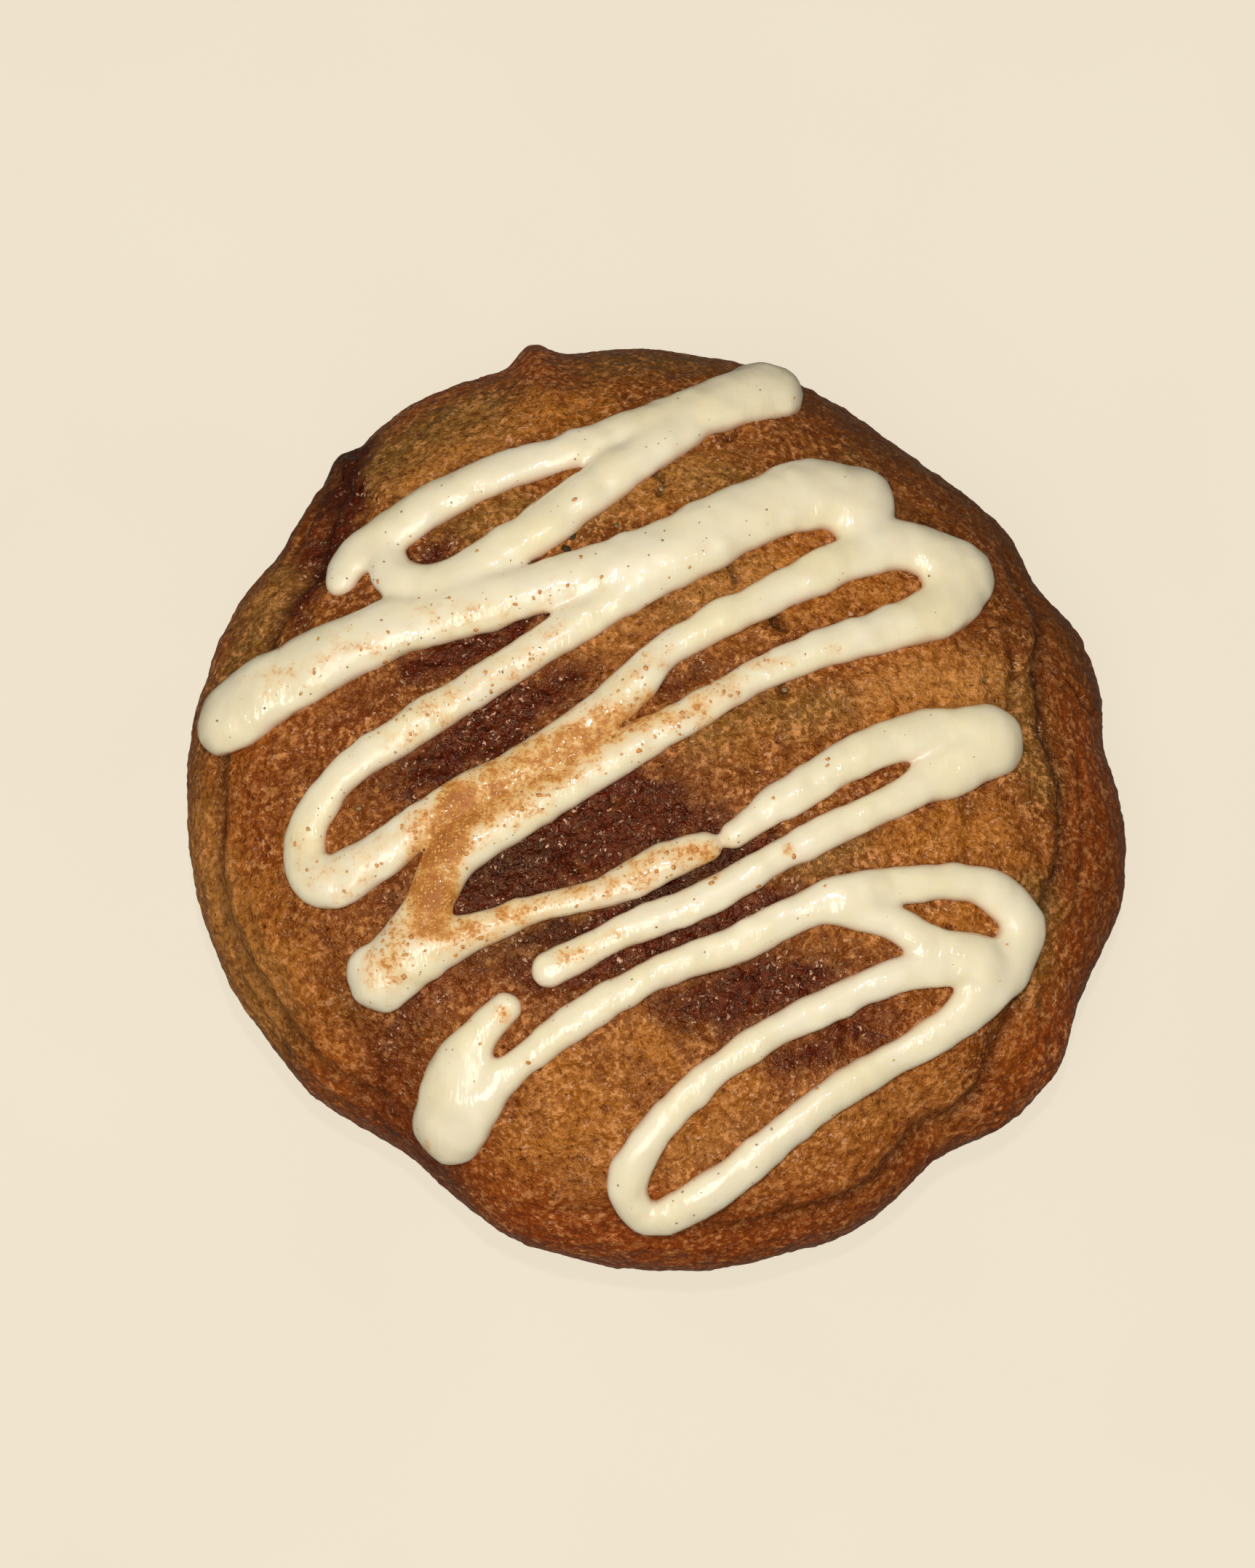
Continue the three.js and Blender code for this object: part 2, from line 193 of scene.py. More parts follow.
PALE_AREAS = [
    (1.0, 3, [(-49.5, -4, 2), (-46, -14, 3), (-40, -23, 3)]),
    (1.3, 4, [(22, 6.4, 1), (26, 8, 2), (33, 8, 3)]),
    (0.8, 4, [(-26, 31, 2), (-18, 35, 3)]),
    (0.9, 3, [(-41, 20, 1.5), (-38.6, 22.4, 1.5)]),
    (0.7, 3, [(-4, 29, 2), (4, 31.4, 2)]),
    (0.7, 3, [(4, 16, 2), (12, 19, 2)]),
    (0.8, 2.5, [(-6, 11, 1.5), (-1, 14, 1.5)]),
    (0.6, 3, [(4, 11, 1), (12, 14.6, 1)]),
    (0.3, 3, [(2, -45, 2), (18, -43, 2), (24, -40, 2)]),
    (0.6, 3, [(31, -34, 2), (-8, -44, 1)]),
]
# Painted shade: the crust and filling darkened in colour on parts of the rim and beside and between the
# strands.
PAINTED_SHADE_AREAS = [
    (1.0, 4, [(10, 46, 2), (20, 41, 3), (30, 34, 3), (38, 27, 3), (44, 17, 3), (47, 9, 2)]),
    (0.6, 4, [(24, 30, 2), (35, 22, 2), (42, 12, 2)]),
    (0.7, 3, [(-9, 47.4, 1.5), (-2, 47.4, 2), (8, 47, 2)]),
    (0.5, 3, [(-30, -43, 3), (-22, -46, 3)]),
    (0.6, 4, [(48, 12, 3), (50, 0, 3), (48, -12, 3), (45, -20, 2)]),
    (0.2, 4, [(36, -36, 3), (26, -43, 3), (8, -49, 3)]),
    (0.9, 3, [(-41, 25, 2), (-36.6, 33.5, 2), (-31, 39.5, 1)]),
    (0.7, 2.5, [(-20, -13, 2), (-12, -10.4, 2)]),
    (0.9, 2, [(-2, -16, 1.5), (8, -11.4, 1.6)]),
    (0.4, 3, [(-26, -1, 2), (-31, -4, 2)]),
    (0.7, 3, [(-31, -25, 2)]),
    (0.8, 2.5, [(-18, -21, 2), (-8, -17.4, 1.5)]),
]

# ---- Icing: driving sizes ----
STRAND_HEIGHT_SHARE = 0.9
STRAND_HEIGHT_POWER = 0.85
STRAND_LIFT = 0.12  # the widest line of a strand stands clear of the dough by this share
ICING_CELL = 0.35
FAR = 6.0  # the distance taken where no strand is near
STRAND_MARGIN = 2.5  # the distance is worked out this far beyond a strand's side
RELAX_ROUNDS = 3
RELAX_PULL = 0.5
ICING_ROOT = 0.9  # depth that the icing reaches into the dough
ICING_TOP = 5.4
STRAND_STEP = 0.45
JOIN_SOFTNESS = 0.6  # how far strands that meet run together
ICING_WAVES = [(7, 0.16, 11), (3.6, 0.13, 13), (2.4, 0.05, 12)]
WAVE_REACH = 1.2  # the waves act this near to the surface
EDGE_HEIGHT = 1.4  # up to here the icing is tinted towards brown: crust seen through the thin edge, and painted shade where it meets the dough

# The strands' middle lines in the order that they were drizzled: (x, y, half width).
TOP_STRAND = [
    (12, 42, 4.1), (5, 38.6, 3.3), (-4, 35.1, 2.5), (-10, 33.1, 2.4), (-14, 31.9, 2.2),
    (-18, 30.4, 2.5), (-22.2, 28.4, 2.6), (-28, 24.8, 2.6), (-32, 21.8, 2.4), (-32.8, 20.1, 2.1),
]
SECOND_STRAND = [
    (3, 36, 2.5), (-3.2, 31.5, 2.8), (-10.2, 25.8, 2.7), (-17, 21, 2.6),
    (-23.3, 18.2, 2.5), (-27, 19.5, 2.3), (-28.2, 22.2, 2.1),
]
WIDE_STRAND = [
    (-44.5, 5.9, 4.1), (-37, 9.6, 4), (-29, 13, 3.5), (-24, 14.5, 3.1), (-18, 15.8, 3.1),
    (-10, 18.1, 2.9), (0, 20.4, 4), (10, 25.8, 3.7), (17, 28.7, 4.3), (21.2, 28.3, 4.3),
]
RIGHT_LOOP_TOP = [
    (21, 27.5, 4), (22.7, 24.4, 3.1), (27.8, 23, 2.9), (32.1, 20.8, 3.7),
]
LEFT_LOOP = [
    (24, 23.2, 2.8), (18, 20, 2.4), (10, 15.6, 2.1), (7, 14, 2.2), (4, 12, 1.95),
    (1, 10.3, 1.8), (-2, 7.1, 2.2),
    (-8, 1.7, 2.4), (-15, -2.6, 2.3), (-22.4, -6.3, 2.1), (-28.8, -11, 2.6),
    (-33.3, -13.1, 2.7), (-35.9, -11, 2.5), (-35.6, -7.1, 2.3), (-33, -2.7, 2.05),
    (-28.1, 0.9, 2.05), (-20.3, 5.7, 2.1), (-12.3, 10.8, 2.1), (-5.6, 15.2, 2.3), (-1, 18.4, 2.6),
]
MIDDLE_STRAND = [
    (32, 20.2, 3.8), (30, 16.4, 3.1), (25, 13.8, 2.5), (17, 10.9, 2.1), (10, 7.5, 1.8),
    (4, 3.6, 1.95), (0, 1.5, 2.1), (-4, -0.6, 2.35), (-10, -4.2, 2.4), (-17, -8.2, 2.7),
    (-21, -11.6, 2.7), (-23.1, -16, 2.4), (-25.8, -20.3, 3.1),
]
LOWER_LEFT_STRAND = [
    (-27.8, -22.7, 3.8), (-24.5, -20.9, 3.3), (-19, -18.9, 2.1), (-12, -16.4, 1.55),
    (-5, -14.8, 1.65), (1, -11.9, 2.2), (5, -10.4, 1.7),
]
RIGHT_LOBE_TOP = [
    (8.1, -8.9, 1.6), (11.9, -6.2, 2), (17.7, -2.4, 2.2), (24.6, 1.2, 2.4), (30.2, 2.5, 2.6),
    (34.4, 1.9, 3.9),
]
RIGHT_LOBE_BOTTOM = [
    (33.8, 1, 3.5), (30, -1.6, 2.7), (25, -4.7, 1.9), (18, -8.4, 1.8), (12, -11.6, 1.85),
    (5, -15.6, 1.95), (-3, -18.9, 1.7), (-10.6, -22.7, 1.85),
]
SHORT_STRAND = [
    (-15, -26.5, 1.7), (-18, -29.2, 2), (-20, -33, 3.6), (-20.9, -37.1, 4.3),
]
LONG_ZIGZAG = [
    (-19.3, -35.3, 3.9), (-14.8, -32.7, 1.9), (-7.9, -27.7, 1.9), (0, -23.4, 1.7),
    (8, -20.2, 1.9), (15, -16.7, 2), (20.5, -14.8, 2.2), (25.5, -13.8, 1.95), (30.2, -13, 1.8),
    (34.8, -13.8, 2.1), (37.6, -16.6, 2.5), (36.8, -20, 2.7), (33.9, -23.5, 2.9),
    (30, -27.5, 2.1), (24, -31.1, 1.85), (17, -35.6, 1.95), (10, -41, 2.1), (4, -45.1, 2.2),
    (-0.8, -46.8, 2), (-2.8, -44.3, 2.15), (-1.2, -40.2, 2.05), (3.5, -35.2, 1.75),
    (10, -30.1, 1.75), (18, -25.8, 1.85), (25, -22.7, 1.85), (30.5, -21.6, 2.3),
]
CROSSING_STRAND = [
    (19, -16, 2.1), (24, -17.5, 1.95), (28, -19.9, 2.1), (33, -21.6, 3.3),
]
STRANDS = [
    TOP_STRAND, SECOND_STRAND, WIDE_STRAND, RIGHT_LOOP_TOP, LEFT_LOOP, MIDDLE_STRAND,
    LOWER_LEFT_STRAND, RIGHT_LOBE_TOP, RIGHT_LOBE_BOTTOM, SHORT_STRAND, LONG_ZIGZAG,
    CROSSING_STRAND,
]

# ---- Cinnamon on the icing: (strength, soft edge, [(x, y, half width), ...]) ----
DUST_AREAS = [
    (1.6, 2.5, [(-20, -6, 2.5), (-22.5, -12, 2.5), (-23, -17, 2.5)]),
    (0.7, 3, [(-24, -18, 2.5), (-27, -22, 2.5)]),
    (1.05, 2.5, [(-22, -8.4, 3.2), (-14, -3.4, 3.4), (-6, 1.4, 2.8)]),
    (0.8, 2.5, [(-6, 2, 3), (0, 3.4, 2.5)]),
    (0.75, 2, [(-22, -19.5, 2), (-16, -17.8, 2), (-9, -15.6, 1), (0, -12.6, 1.8), (5, -11, 1.8)]),
    (0.4, 3, [(-36, -9, 2), (-33, -13, 2), (-28, -10.6, 2), (-22, -6, 2)]),
    (0.5, 3, [(-27, 1.4, 1.5), (-20, 5.7, 1.5), (-10, 12, 1.5)]),
    (0.55, 2, [(1, 10, 0.8), (-4, 5.6, 1.4)]),
    (0.75, 2, [(2, 2.6, 1.4), (8, 6.4, 1.2)]),
    (0.5, 1.5, [(10, 8.6, 0.8), (13, 9, 0.8)]),
    (0.55, 1, [(12, 8.4, 0.5)]),
    (0.55, 1, [(18.6, 10.8, 0.5)]),
    (0.9, 0.8, [(13.5, -10.6, 0.6)]),
    (0.6, 1, [(6, -13.8, 0.4)]),
    (0.6, 1, [(3, -15.4, 0.4)]),
    (0.7, 1.2, [(-9.5, -22, 0.7), (-7, -20.8, 0.6), (-4, -19.2, 0.4)]),
    (0.8, 1.2, [(-15.6, -27.2, 0.8)]),
    (0.6, 1, [(-13, -31.8, 0.5)]),
    (0.8, 0.8, [(-23.5, -39.6, 0.4)]),
    (0.3, 3, [(-40, 8, 2), (-30, 11.6, 2), (-19, 15, 2)]),
    (0.35, 2.5, [(-7, 17, 1), (-19, 12.6, 1)]),
]
FLAKE_COUNT = 800
FLAKE_FLATNESS = 0.16
SPECK_COUNT = 260
SPECK_FLATNESS = 0.4
DARK_GRAIN_RADIUS = 0.4  # larger grains are darker, and this size is darkest
LOWEST_GRAIN = 0.6  # height of the lowest grains above the dough
SPECKLED_TO = 12  # right of this x the specks are few
BURNT_SPECKS = [  # (x, y, radius)
    (-8.6, 23.4, 0.8), (-7.5, 22.5, 0.7), (-9.2, 21.9, 0.7), (-3.9, 24.6, 0.4), (0.7, 28.9, 0.3),
    (-30.4, -5.5, 0.3), (13.3, 6.4, 0.4), (34.3, 8.7, 0.25),
]

FLOOR_HALF_WIDTH = 4000

# ---- Camera, as the photograph shows the roll ----
CAMERA_ELEVATION = 75
CAMERA_DISTANCE = 420
CAMERA_LENS = 90.8
AIM_HEIGHT = 15.5
PIXELS_PER_MM = 12.95
ROLL_RIGHT_OF_CENTRE = 36.5  # pixels from the picture's middle
ROLL_BELOW_CENTRE = 5

rng = np.random.default_rng(7)


# ---- Small tools ----
def smoothstep(low, high, value):
    t = np.clip((value - low) / (high - low), 0, 1)
    return t * t * (3 - 2 * t)


def lattice_noise(points, wavelength, seed):
    """Smooth noise from -1 to 1 at each point, out of random values on a cubic lattice."""
    size = 48  # the lattice repeats after this many values
    values = np.random.default_rng(seed).uniform(-1, 1, (size, size, size))
    scaled = points / (wavelength / 2)
    corner = np.floor(scaled).astype(int)
    gone = scaled - corner
    gone = gone * gone * (3 - 2 * gone)
    total = np.zeros(len(points))
    for offset in itertools.product((0, 1), repeat=3):
        weight = np.prod(np.where(offset, gone, 1 - gone), axis=1)
        total += weight * values[tuple(((corner + offset) % size).T)]
    return total


def layered_noise(points, layers):
    total = np.zeros(len(points))
    for wavelength, height, seed in layers:
        total += height * lattice_noise(points, wavelength, seed)
    return total


def chain_depth(x, y, chain):
    """How deep a point lies inside a chain of round stretches, negative outside it."""
    best = np.full(np.shape(x), -np.inf)
    links = list(zip(chain, chain[1:])) or [(chain[0], chain[0])]
    for (ax, ay, aw), (bx, by, bw) in links:
        dx, dy = bx - ax, by - ay
        length = max(dx * dx + dy * dy, 1e-9)
        t = np.clip(((x - ax) * dx + (y - ay) * dy) / length, 0, 1)
        distance = np.hypot(x - ax - t * dx, y - ay - t * dy)
        best = np.maximum(best, aw + t * (bw - aw) - distance)
    return best


def area_mask(x, y, areas):
    """How strongly a point belongs to any of the areas."""
    mask = np.zeros(np.shape(x))
    for strength, soft, chain in areas:
        mask = np.maximum(mask, strength * smoothstep(-soft, soft, chain_depth(x, y, chain)))
    return mask


def vertex_normals(points, faces):
    """Mean direction of the triangles or quads round each point."""
    diagonals = points[faces[:, 2]] - points[faces[:, 0]], points[faces[:, -1]] - points[faces[:, 1]]
    face_normals = np.cross(*diagonals)
    normals = np.zeros_like(points)
    for column in faces.T:
        np.add.at(normals, column, face_normals)
    return normals / np.maximum(np.linalg.norm(normals, axis=1, keepdims=True), 1e-12)


def new_piece(name, points, faces, attributes, material):
    """A smooth mesh object from points in millimetres, which rides on the roll."""
    mesh = bpy.data.meshes.new(name)
    mesh.vertices.add(len(points))
    mesh.vertices.foreach_set("co", (points * MM).astype(np.float32).ravel())
    corners = faces.shape[1]
    mesh.loops.add(faces.size)
    mesh.loops.foreach_set("vertex_index", faces.astype(np.int32).ravel())
    mesh.polygons.add(len(faces))
    mesh.polygons.foreach_set("loop_start", np.arange(0, faces.size, corners, dtype=np.int32))
    mesh.polygons.foreach_set("use_smooth", np.ones(len(faces), dtype=bool))
    for key, values in attributes.items():
        layer = mesh.attributes.new(key, "FLOAT", "POINT")
        layer.data.foreach_set("value", np.asarray(values, dtype=np.float32))
    mesh.update(calc_edges=True)
    mesh.validate()
    mesh.materials.append(material)
    piece = bpy.data.objects.new(name, mesh)
    bpy.context.scene.collection.objects.link(piece)
    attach(piece, ROOT)
    return piece


# ---- The dough's form ----
def rim_radius(angle):
    degrees = np.degrees(angle)
    r = np.full(np.shape(angle), float(ROLL_RADIUS))
    for at, out, half_width in RIM_BUMPS:
        apart = (degrees - at + 180) % 360 - 180
        r += out * np.exp(-((apart / half_width) ** 2))
    return r


def seam_at(angle):
    """Inset and depth of the seam, eased between the stations."""
    degrees = np.degrees(angle) % 360
    stations = np.array(SEAM_STATIONS, float)
    after = np.searchsorted(stations[:, 0], degrees, side="right") % len(stations)
    before = after - 1
    span = (stations[after, 0] - stations[before, 0]) % 360
    t = smoothstep(0, 1, ((degrees - stations[before, 0]) % 360) / span)
    inset = stations[before, 1] + t * (stations[after, 1] - stations[before, 1])
    depth = stations[before, 2] + t * (stations[after, 2] - stations[before, 2])
    return inset, depth


def dome_height(share):
    """Height of the plain dome at a share of the way out."""
    rise = ROLL_HEIGHT - WIDEST_HEIGHT
    return WIDEST_HEIGHT + rise * np.sqrt(np.maximum(0, 1 - share ** DOME_POWER))


def swell_at(x, y):
    z = np.zeros(np.shape(x))
    for at_x, at_y, up, half_width in TOP_SWELLS:
        z += up * np.exp(-((x - at_x) ** 2 + (y - at_y) ** 2) / half_width ** 2)
    return z


def top_height(x, y):
    """Height of the top under a point, with its swells, without the seam's groove."""
    angle = np.arctan2(y, x)
    r = np.hypot(x, y)
    rim = rim_radius(angle)
    share = np.minimum(1, r / rim)
    inset, depth = seam_at(angle)
    seam_radius = rim - inset
    on_outer_coil = smoothstep(seam_radius, seam_radius + SEAM_HALF_WIDTH, r)
    relief = swell_at(x, y) - COIL_STEP_SHARE * depth * on_outer_coil
    return dome_height(share) + relief * np.minimum(1, (1 - share) * RIM_FADE)


def disc_grid(steps):
    """A square grid bent onto a disc: the share of the way out, and the angle."""
    line = np.linspace(-1, 1, steps + 1)
    a, b = np.meshgrid(line, line, indexing="ij")
    wide = np.abs(a) >= np.abs(b)
    lead = np.where(wide, a, b)
    ratio = np.where(wide, b, a) / np.where(lead == 0, 1, lead)
    turn = np.where(wide, ratio * np.pi / 4, np.pi / 2 - ratio * np.pi / 4)
    return np.abs(lead), turn + np.pi * (lead < 0)


def even_shares(along):
    """Shares of the radius at even distances along the dome's curve."""
    share = 1 - (1 - np.linspace(0, 1, 2000)) ** 2
    radius = share * ROLL_RADIUS
    height = dome_height(share)
    length = np.concatenate([[0], np.cumsum(np.hypot(np.diff(radius), np.diff(height)))])
    return np.interp(along * length[-1], length, share)


def dough_mesh():
    """Points and triangles of the dough without its fine relief."""
    n = GRID_STEPS
    out, angle = disc_grid(n)
    share = even_shares(out)
    r = share * rim_radius(angle)
    x = r * np.cos(angle)
    y = r * np.sin(angle)
    top = np.stack([x, y, top_height(x, y)], axis=-1).reshape(-1, 3)
    number = np.arange((n + 1) ** 2).reshape(n + 1, n + 1)
    cells = [number[:-1, :-1], number[1:, :-1], number[1:, 1:], number[:-1, 1:]]
    quads = [np.stack([c.ravel() for c in cells], axis=1)]

    edge = np.concatenate([number[:-1, 0], number[-1, :-1], number[:0:-1, -1], number[0, :0:-1]])
    edge_angle = angle.reshape(-1)[edge]
    rim = rim_radius(edge_angle)
    points = [top]
    above = edge
    count = len(top)
    for row in range(1, WALL_ROWS + 1):
        down = row / WALL_ROWS * np.pi / 2
        tucked = rim * (1 - BASE_TUCK * (1 - np.cos(down)))
        z = np.full(len(edge), WIDEST_HEIGHT * (1 - np.sin(down)))
        points.append(np.stack([tucked * np.cos(edge_angle), tucked * np.sin(edge_angle), z], axis=1))
        below = np.arange(count, count + len(edge))
        count += len(edge)
        quads.append(np.stack([above, below, np.roll(below, -1), np.roll(above, -1)], axis=1))
        above = below
    points.append(np.zeros((1, 3)))
    quads = np.concatenate(quads)
    triangles = np.concatenate([quads[:, [0, 1, 2]], quads[:, [0, 2, 3]]])
    base = np.stack([above, np.full(len(edge), count), np.roll(above, -1)], axis=1)
    return np.concatenate(points), np.concatenate([triangles, base])


def crease_relief(x, y):
    """Depth of the seam's groove and of the cracks."""
    inset, depth = seam_at(np.arctan2(y, x))
    off_seam = np.hypot(x, y) - (rim_radius(np.arctan2(y, x)) - inset)
    total = GROOVE_DEPTH_SHARE * depth * np.exp(-(off_seam / GROOVE_HALF_WIDTH) ** 2)
    for half_width, deep, points in CREASES:
        outside = -chain_depth(x, y, [(px, py, 0) for px, py in points])
        total = np.maximum(total, deep * np.exp(-(outside / half_width) ** 2))
    return total


def pit_relief(x, y):
    """Depth of the placed pits and of the random ones."""
    total = np.zeros(len(x))
    places = rng.uniform(-ROLL_RADIUS, ROLL_RADIUS, (RANDOM_PITS, 2))
    random_pits = [(px, py, rng.uniform(0.3, 0.55), rng.uniform(0.2, 0.45)) for px, py in places]
    for px, py, radius, deep in PITS + random_pits:
        total = np.maximum(total, deep * np.exp(-((x - px) ** 2 + (y - py) ** 2) / radius ** 2))
    return total


def make_dough(material):
    """The dough with its fine relief, in place of the solid."""
    points, faces = dough_mesh()
    normals = vertex_normals(points, faces)
    x, y, z = points.T
    wavy_x = x + EDGE_WANDER * lattice_noise(points, WANDER_WAVELENGTH, 21)
    wavy_y = y + EDGE_WANDER * lattice_noise(points, WANDER_WAVELENGTH, 22)
    on_top = smoothstep(WIDEST_HEIGHT - 3, WIDEST_HEIGHT + 3, z)
    above_base = smoothstep(0.5, 5, z)
    filling = area_mask(wavy_x, wavy_y, FILLING_BANDS) * on_top
    golden = area_mask(wavy_x, wavy_y, GOLDEN_AREAS) * on_top
    crease = crease_relief(x, y) * on_top
    pits = pit_relief(x, y) * on_top
    relief = layered_noise(points, RELIEF_LAYERS) + filling * layered_noise(points, FILLING_LAYERS)
    relief += golden * layered_noise(points, CRUMB_LAYERS)
    share = np.hypot(x, y) / rim_radius(np.arctan2(y, x))
    rim = smoothstep(0.8, 1, share)
    relief *= above_base * (1 - (1 - RIM_RELIEF_SHARE) * rim)
    relief -= crease + pits + FILLING_SINK * filling + RIM_DRAW * above_base * rim
    attributes = {
        "filling": filling,
        "golden": golden,
        "red": area_mask(wavy_x, wavy_y, RED_AREAS),
        "olive": area_mask(wavy_x, wavy_y, OLIVE_AREAS),
        "pale": area_mask(wavy_x, wavy_y, PALE_AREAS) * on_top,
        "painted_shade": area_mask(x, y, PAINTED_SHADE_AREAS),
        "crease": np.clip(crease + pits, 0, 1),
        "rim": rim,
    }
    piece = new_piece("dough", points + normals * relief[:, None], faces, attributes, material)
    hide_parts(NODE)


# ---- The icing's form ----
def smooth_route(points, step):
    """Places every step along the centripetal Catmull-Rom curve through the points."""
    knots = np.array(points, float)
    knots = np.vstack([2 * knots[0] - knots[1], knots, 2 * knots[-1] - knots[-2]])
    t = np.linspace(0, 1, 24, endpoint=False)[:, None]
    fine = []
    for p0, p1, p2, p3 in zip(knots, knots[1:], knots[2:], knots[3:]):
        d0, d1, d2 = (np.sqrt(np.linalg.norm(b - a)) for a, b in ((p0, p1), (p1, p2), (p2, p3)))
        m1 = d1 * ((p1 - p0) / d0 - (p2 - p0) / (d0 + d1) + (p2 - p1) / d1)
        m2 = d1 * ((p2 - p1) / d1 - (p3 - p1) / (d1 + d2) + (p3 - p2) / d2)
        fine.append((2 * t ** 3 - 3 * t ** 2 + 1) * p1 + (t ** 3 - 2 * t ** 2 + t) * m1
                    + (3 * t ** 2 - 2 * t ** 3) * p2 + (t ** 3 - t ** 2) * m2)
    fine = np.vstack(fine + [knots[-2:-1]])
    length = np.concatenate([[0], np.cumsum(np.linalg.norm(np.diff(fine, axis=0), axis=1))])
    at = np.linspace(0, length[-1], int(np.ceil(length[-1] / step)) + 1)
    return np.stack([np.interp(at, length, column) for column in fine.T], axis=1)


def top_normal(x, y):
    """The direction straight out of the top, from its slope over a short reach."""
    reach = 0.5
    slope_x = (top_height(x + reach, y) - top_height(x - reach, y)) / (2 * reach)
    slope_y = (top_height(x, y + reach) - top_height(x, y - reach)) / (2 * reach)
    normal = np.stack([-slope_x, -slope_y, np.ones_like(slope_x)], axis=-1)
    return normal / np.linalg.norm(normal, axis=-1, keepdims=True)


def smooth_minimum(a, b, softness):
    """The smaller of two distances, rounded where they are nearly the same."""
    overlap = np.maximum(softness - np.abs(a - b), 0) / softness
    return np.minimum(a, b) - overlap ** 2 * softness / 4


def strand_field(points, xs, ys, heights):
    """Distance from one strand's surface, about in millimetres, on the icing's grid."""
    field = np.full(heights.shape, FAR, dtype=np.float32)
    route = smooth_route(points, STRAND_STEP)
    normals = top_normal(route[:, 0], route[:, 1])
    ground = top_height(route[:, 0], route[:, 1])
    for (px, py, half_width), normal, pz in zip(route, normals, ground):
        high = STRAND_HEIGHT_SHARE * half_width ** STRAND_HEIGHT_POWER / (1 + STRAND_LIFT)
        reach = half_width + STRAND_MARGIN
        i = slice(*np.searchsorted(xs, (px - reach, px + reach)))
        j = slice(*np.searchsorted(ys, (py - reach, py + reach)))
        middle = np.array([px, py, pz]) + normal * high * STRAND_LIFT
        off_x = (xs[i] - middle[0])[:, None, None]
        off_y = (ys[j] - middle[1])[None, :, None]
        off_z = heights[i, j] - middle[2]
        up = off_x * normal[0] + off_y * normal[1] + off_z * normal[2]
        flat = off_x ** 2 + off_y ** 2 + off_z ** 2 - up ** 2
        away = np.sqrt(np.maximum(flat, 0) / half_width ** 2 + up ** 2 / high ** 2) - 1
        block = field[i, j]
        np.minimum(block, away * min(half_width, high), out=block)
    return field


def surface_net(field):
    """The closed surface where the field is zero: points in grid steps, and quads facing out."""
    inside = field < 0
    offsets = np.array(list(itertools.product((0, 1), repeat=3)))
    size = np.array(field.shape) - 1

    def shifted(values, offset):
        return values[tuple(slice(o, o + s) for o, s in zip(offset, size))]

    count = sum(shifted(inside, offset).astype(np.int8) for offset in offsets)
    active = (count > 0) & (count < 8)
    cells = np.argwhere(active)
    corners = np.stack([field[tuple((cells + offset).T)] for offset in offsets], axis=1)
    total = np.zeros((len(cells), 3))
    crossings = np.zeros(len(cells))
    for a, b in itertools.combinations(range(8), 2):
        if np.abs(offsets[a] - offsets[b]).sum() != 1:
            continue
        va, vb = corners[:, a], corners[:, b]
        crosses = (va < 0) != (vb < 0)
        t = np.where(crosses, va / np.where(crosses, va - vb, 1), 0)
        total += crosses[:, None] * (offsets[a] + t[:, None] * (offsets[b] - offsets[a]))
        crossings += crosses
    points = cells + total / crossings[:, None]
    number = np.full(active.shape, -1)
    number[active] = np.arange(len(cells))

    quads = []
    for axis in range(3):
        u, v = (axis + 1) % 3, (axis + 2) % 3
        low = [slice(1, -1)] * 3
        high = [slice(1, -1)] * 3
        low[axis] = slice(0, -1)
        high[axis] = slice(1, None)
        low, high = inside[tuple(low)], inside[tuple(high)]
        at = np.argwhere(low != high)
        faces_on = low[tuple(at.T)]
        at[:, u] += 1
        at[:, v] += 1
        ring = []
        for du, dv in ((-1, -1), (0, -1), (0, 0), (-1, 0)):
            cell = at.copy()
            cell[:, u] += du
            cell[:, v] += dv
            ring.append(number[tuple(cell.T)])
        ring = np.stack(ring, axis=1)
        ring[~faces_on] = ring[~faces_on][:, ::-1]
        quads.append(ring)
    return points, np.concatenate(quads)


def relaxed(points, faces, rounds, pull):
    """Points drawn to the mean of their neighbours and then back, so that they don't shrink."""
    edges = np.concatenate([faces[:, [k, (k + 1) % 4]] for k in range(4)])
    edges = np.concatenate([edges, edges[:, ::-1]])
    degree = np.bincount(edges[:, 0], minlength=len(points))[:, None]
    for _ in range(rounds):
        for way in (pull, -pull * 1.03):
            mean = np.zeros_like(points)
            np.add.at(mean, edges[:, 0], points[edges[:, 1]])
            points = points + way * (mean / degree - points)
    return points


def make_icing(material):
    """The icing, and its points, normals, heights above the dough and amounts of dust."""
    xs = np.arange(-ROLL_RADIUS, ROLL_RADIUS + ICING_CELL, ICING_CELL)
    ys = xs.copy()
    rise = np.arange(-ICING_ROOT - ICING_CELL, ICING_TOP, ICING_CELL)
    ground = top_height(*np.meshgrid(xs, ys, indexing="ij"))
    heights = ground[:, :, None] + rise
    field = np.full(heights.shape, FAR, dtype=np.float32)
    for points in STRANDS:
        field = smooth_minimum(field, strand_field(points, xs, ys, heights), JOIN_SOFTNESS)
    near = np.argwhere(np.abs(field) < WAVE_REACH)
    places = np.stack([xs[near[:, 0]], ys[near[:, 1]], heights[tuple(near.T)]], axis=1)
    field[tuple(near.T)] += layered_noise(places, ICING_WAVES)
    field = np.maximum(field, -ICING_ROOT - rise)

    net, faces = surface_net(field)
    net = relaxed(net, faces, RELAX_ROUNDS, RELAX_PULL)
    x = xs[0] + net[:, 0] * ICING_CELL
    y = ys[0] + net[:, 1] * ICING_CELL
    above = rise[0] + net[:, 2] * ICING_CELL
    points = np.stack([x, y, top_height(x, y) + above], axis=1)
    attributes = {
        "edge": 1 - smoothstep(0, EDGE_HEIGHT, above),
        "dust": area_mask(x, y, DUST_AREAS),
    }
    new_piece("icing", points, faces, attributes, material)
    return points, vertex_normals(points, faces), above, attributes["dust"]


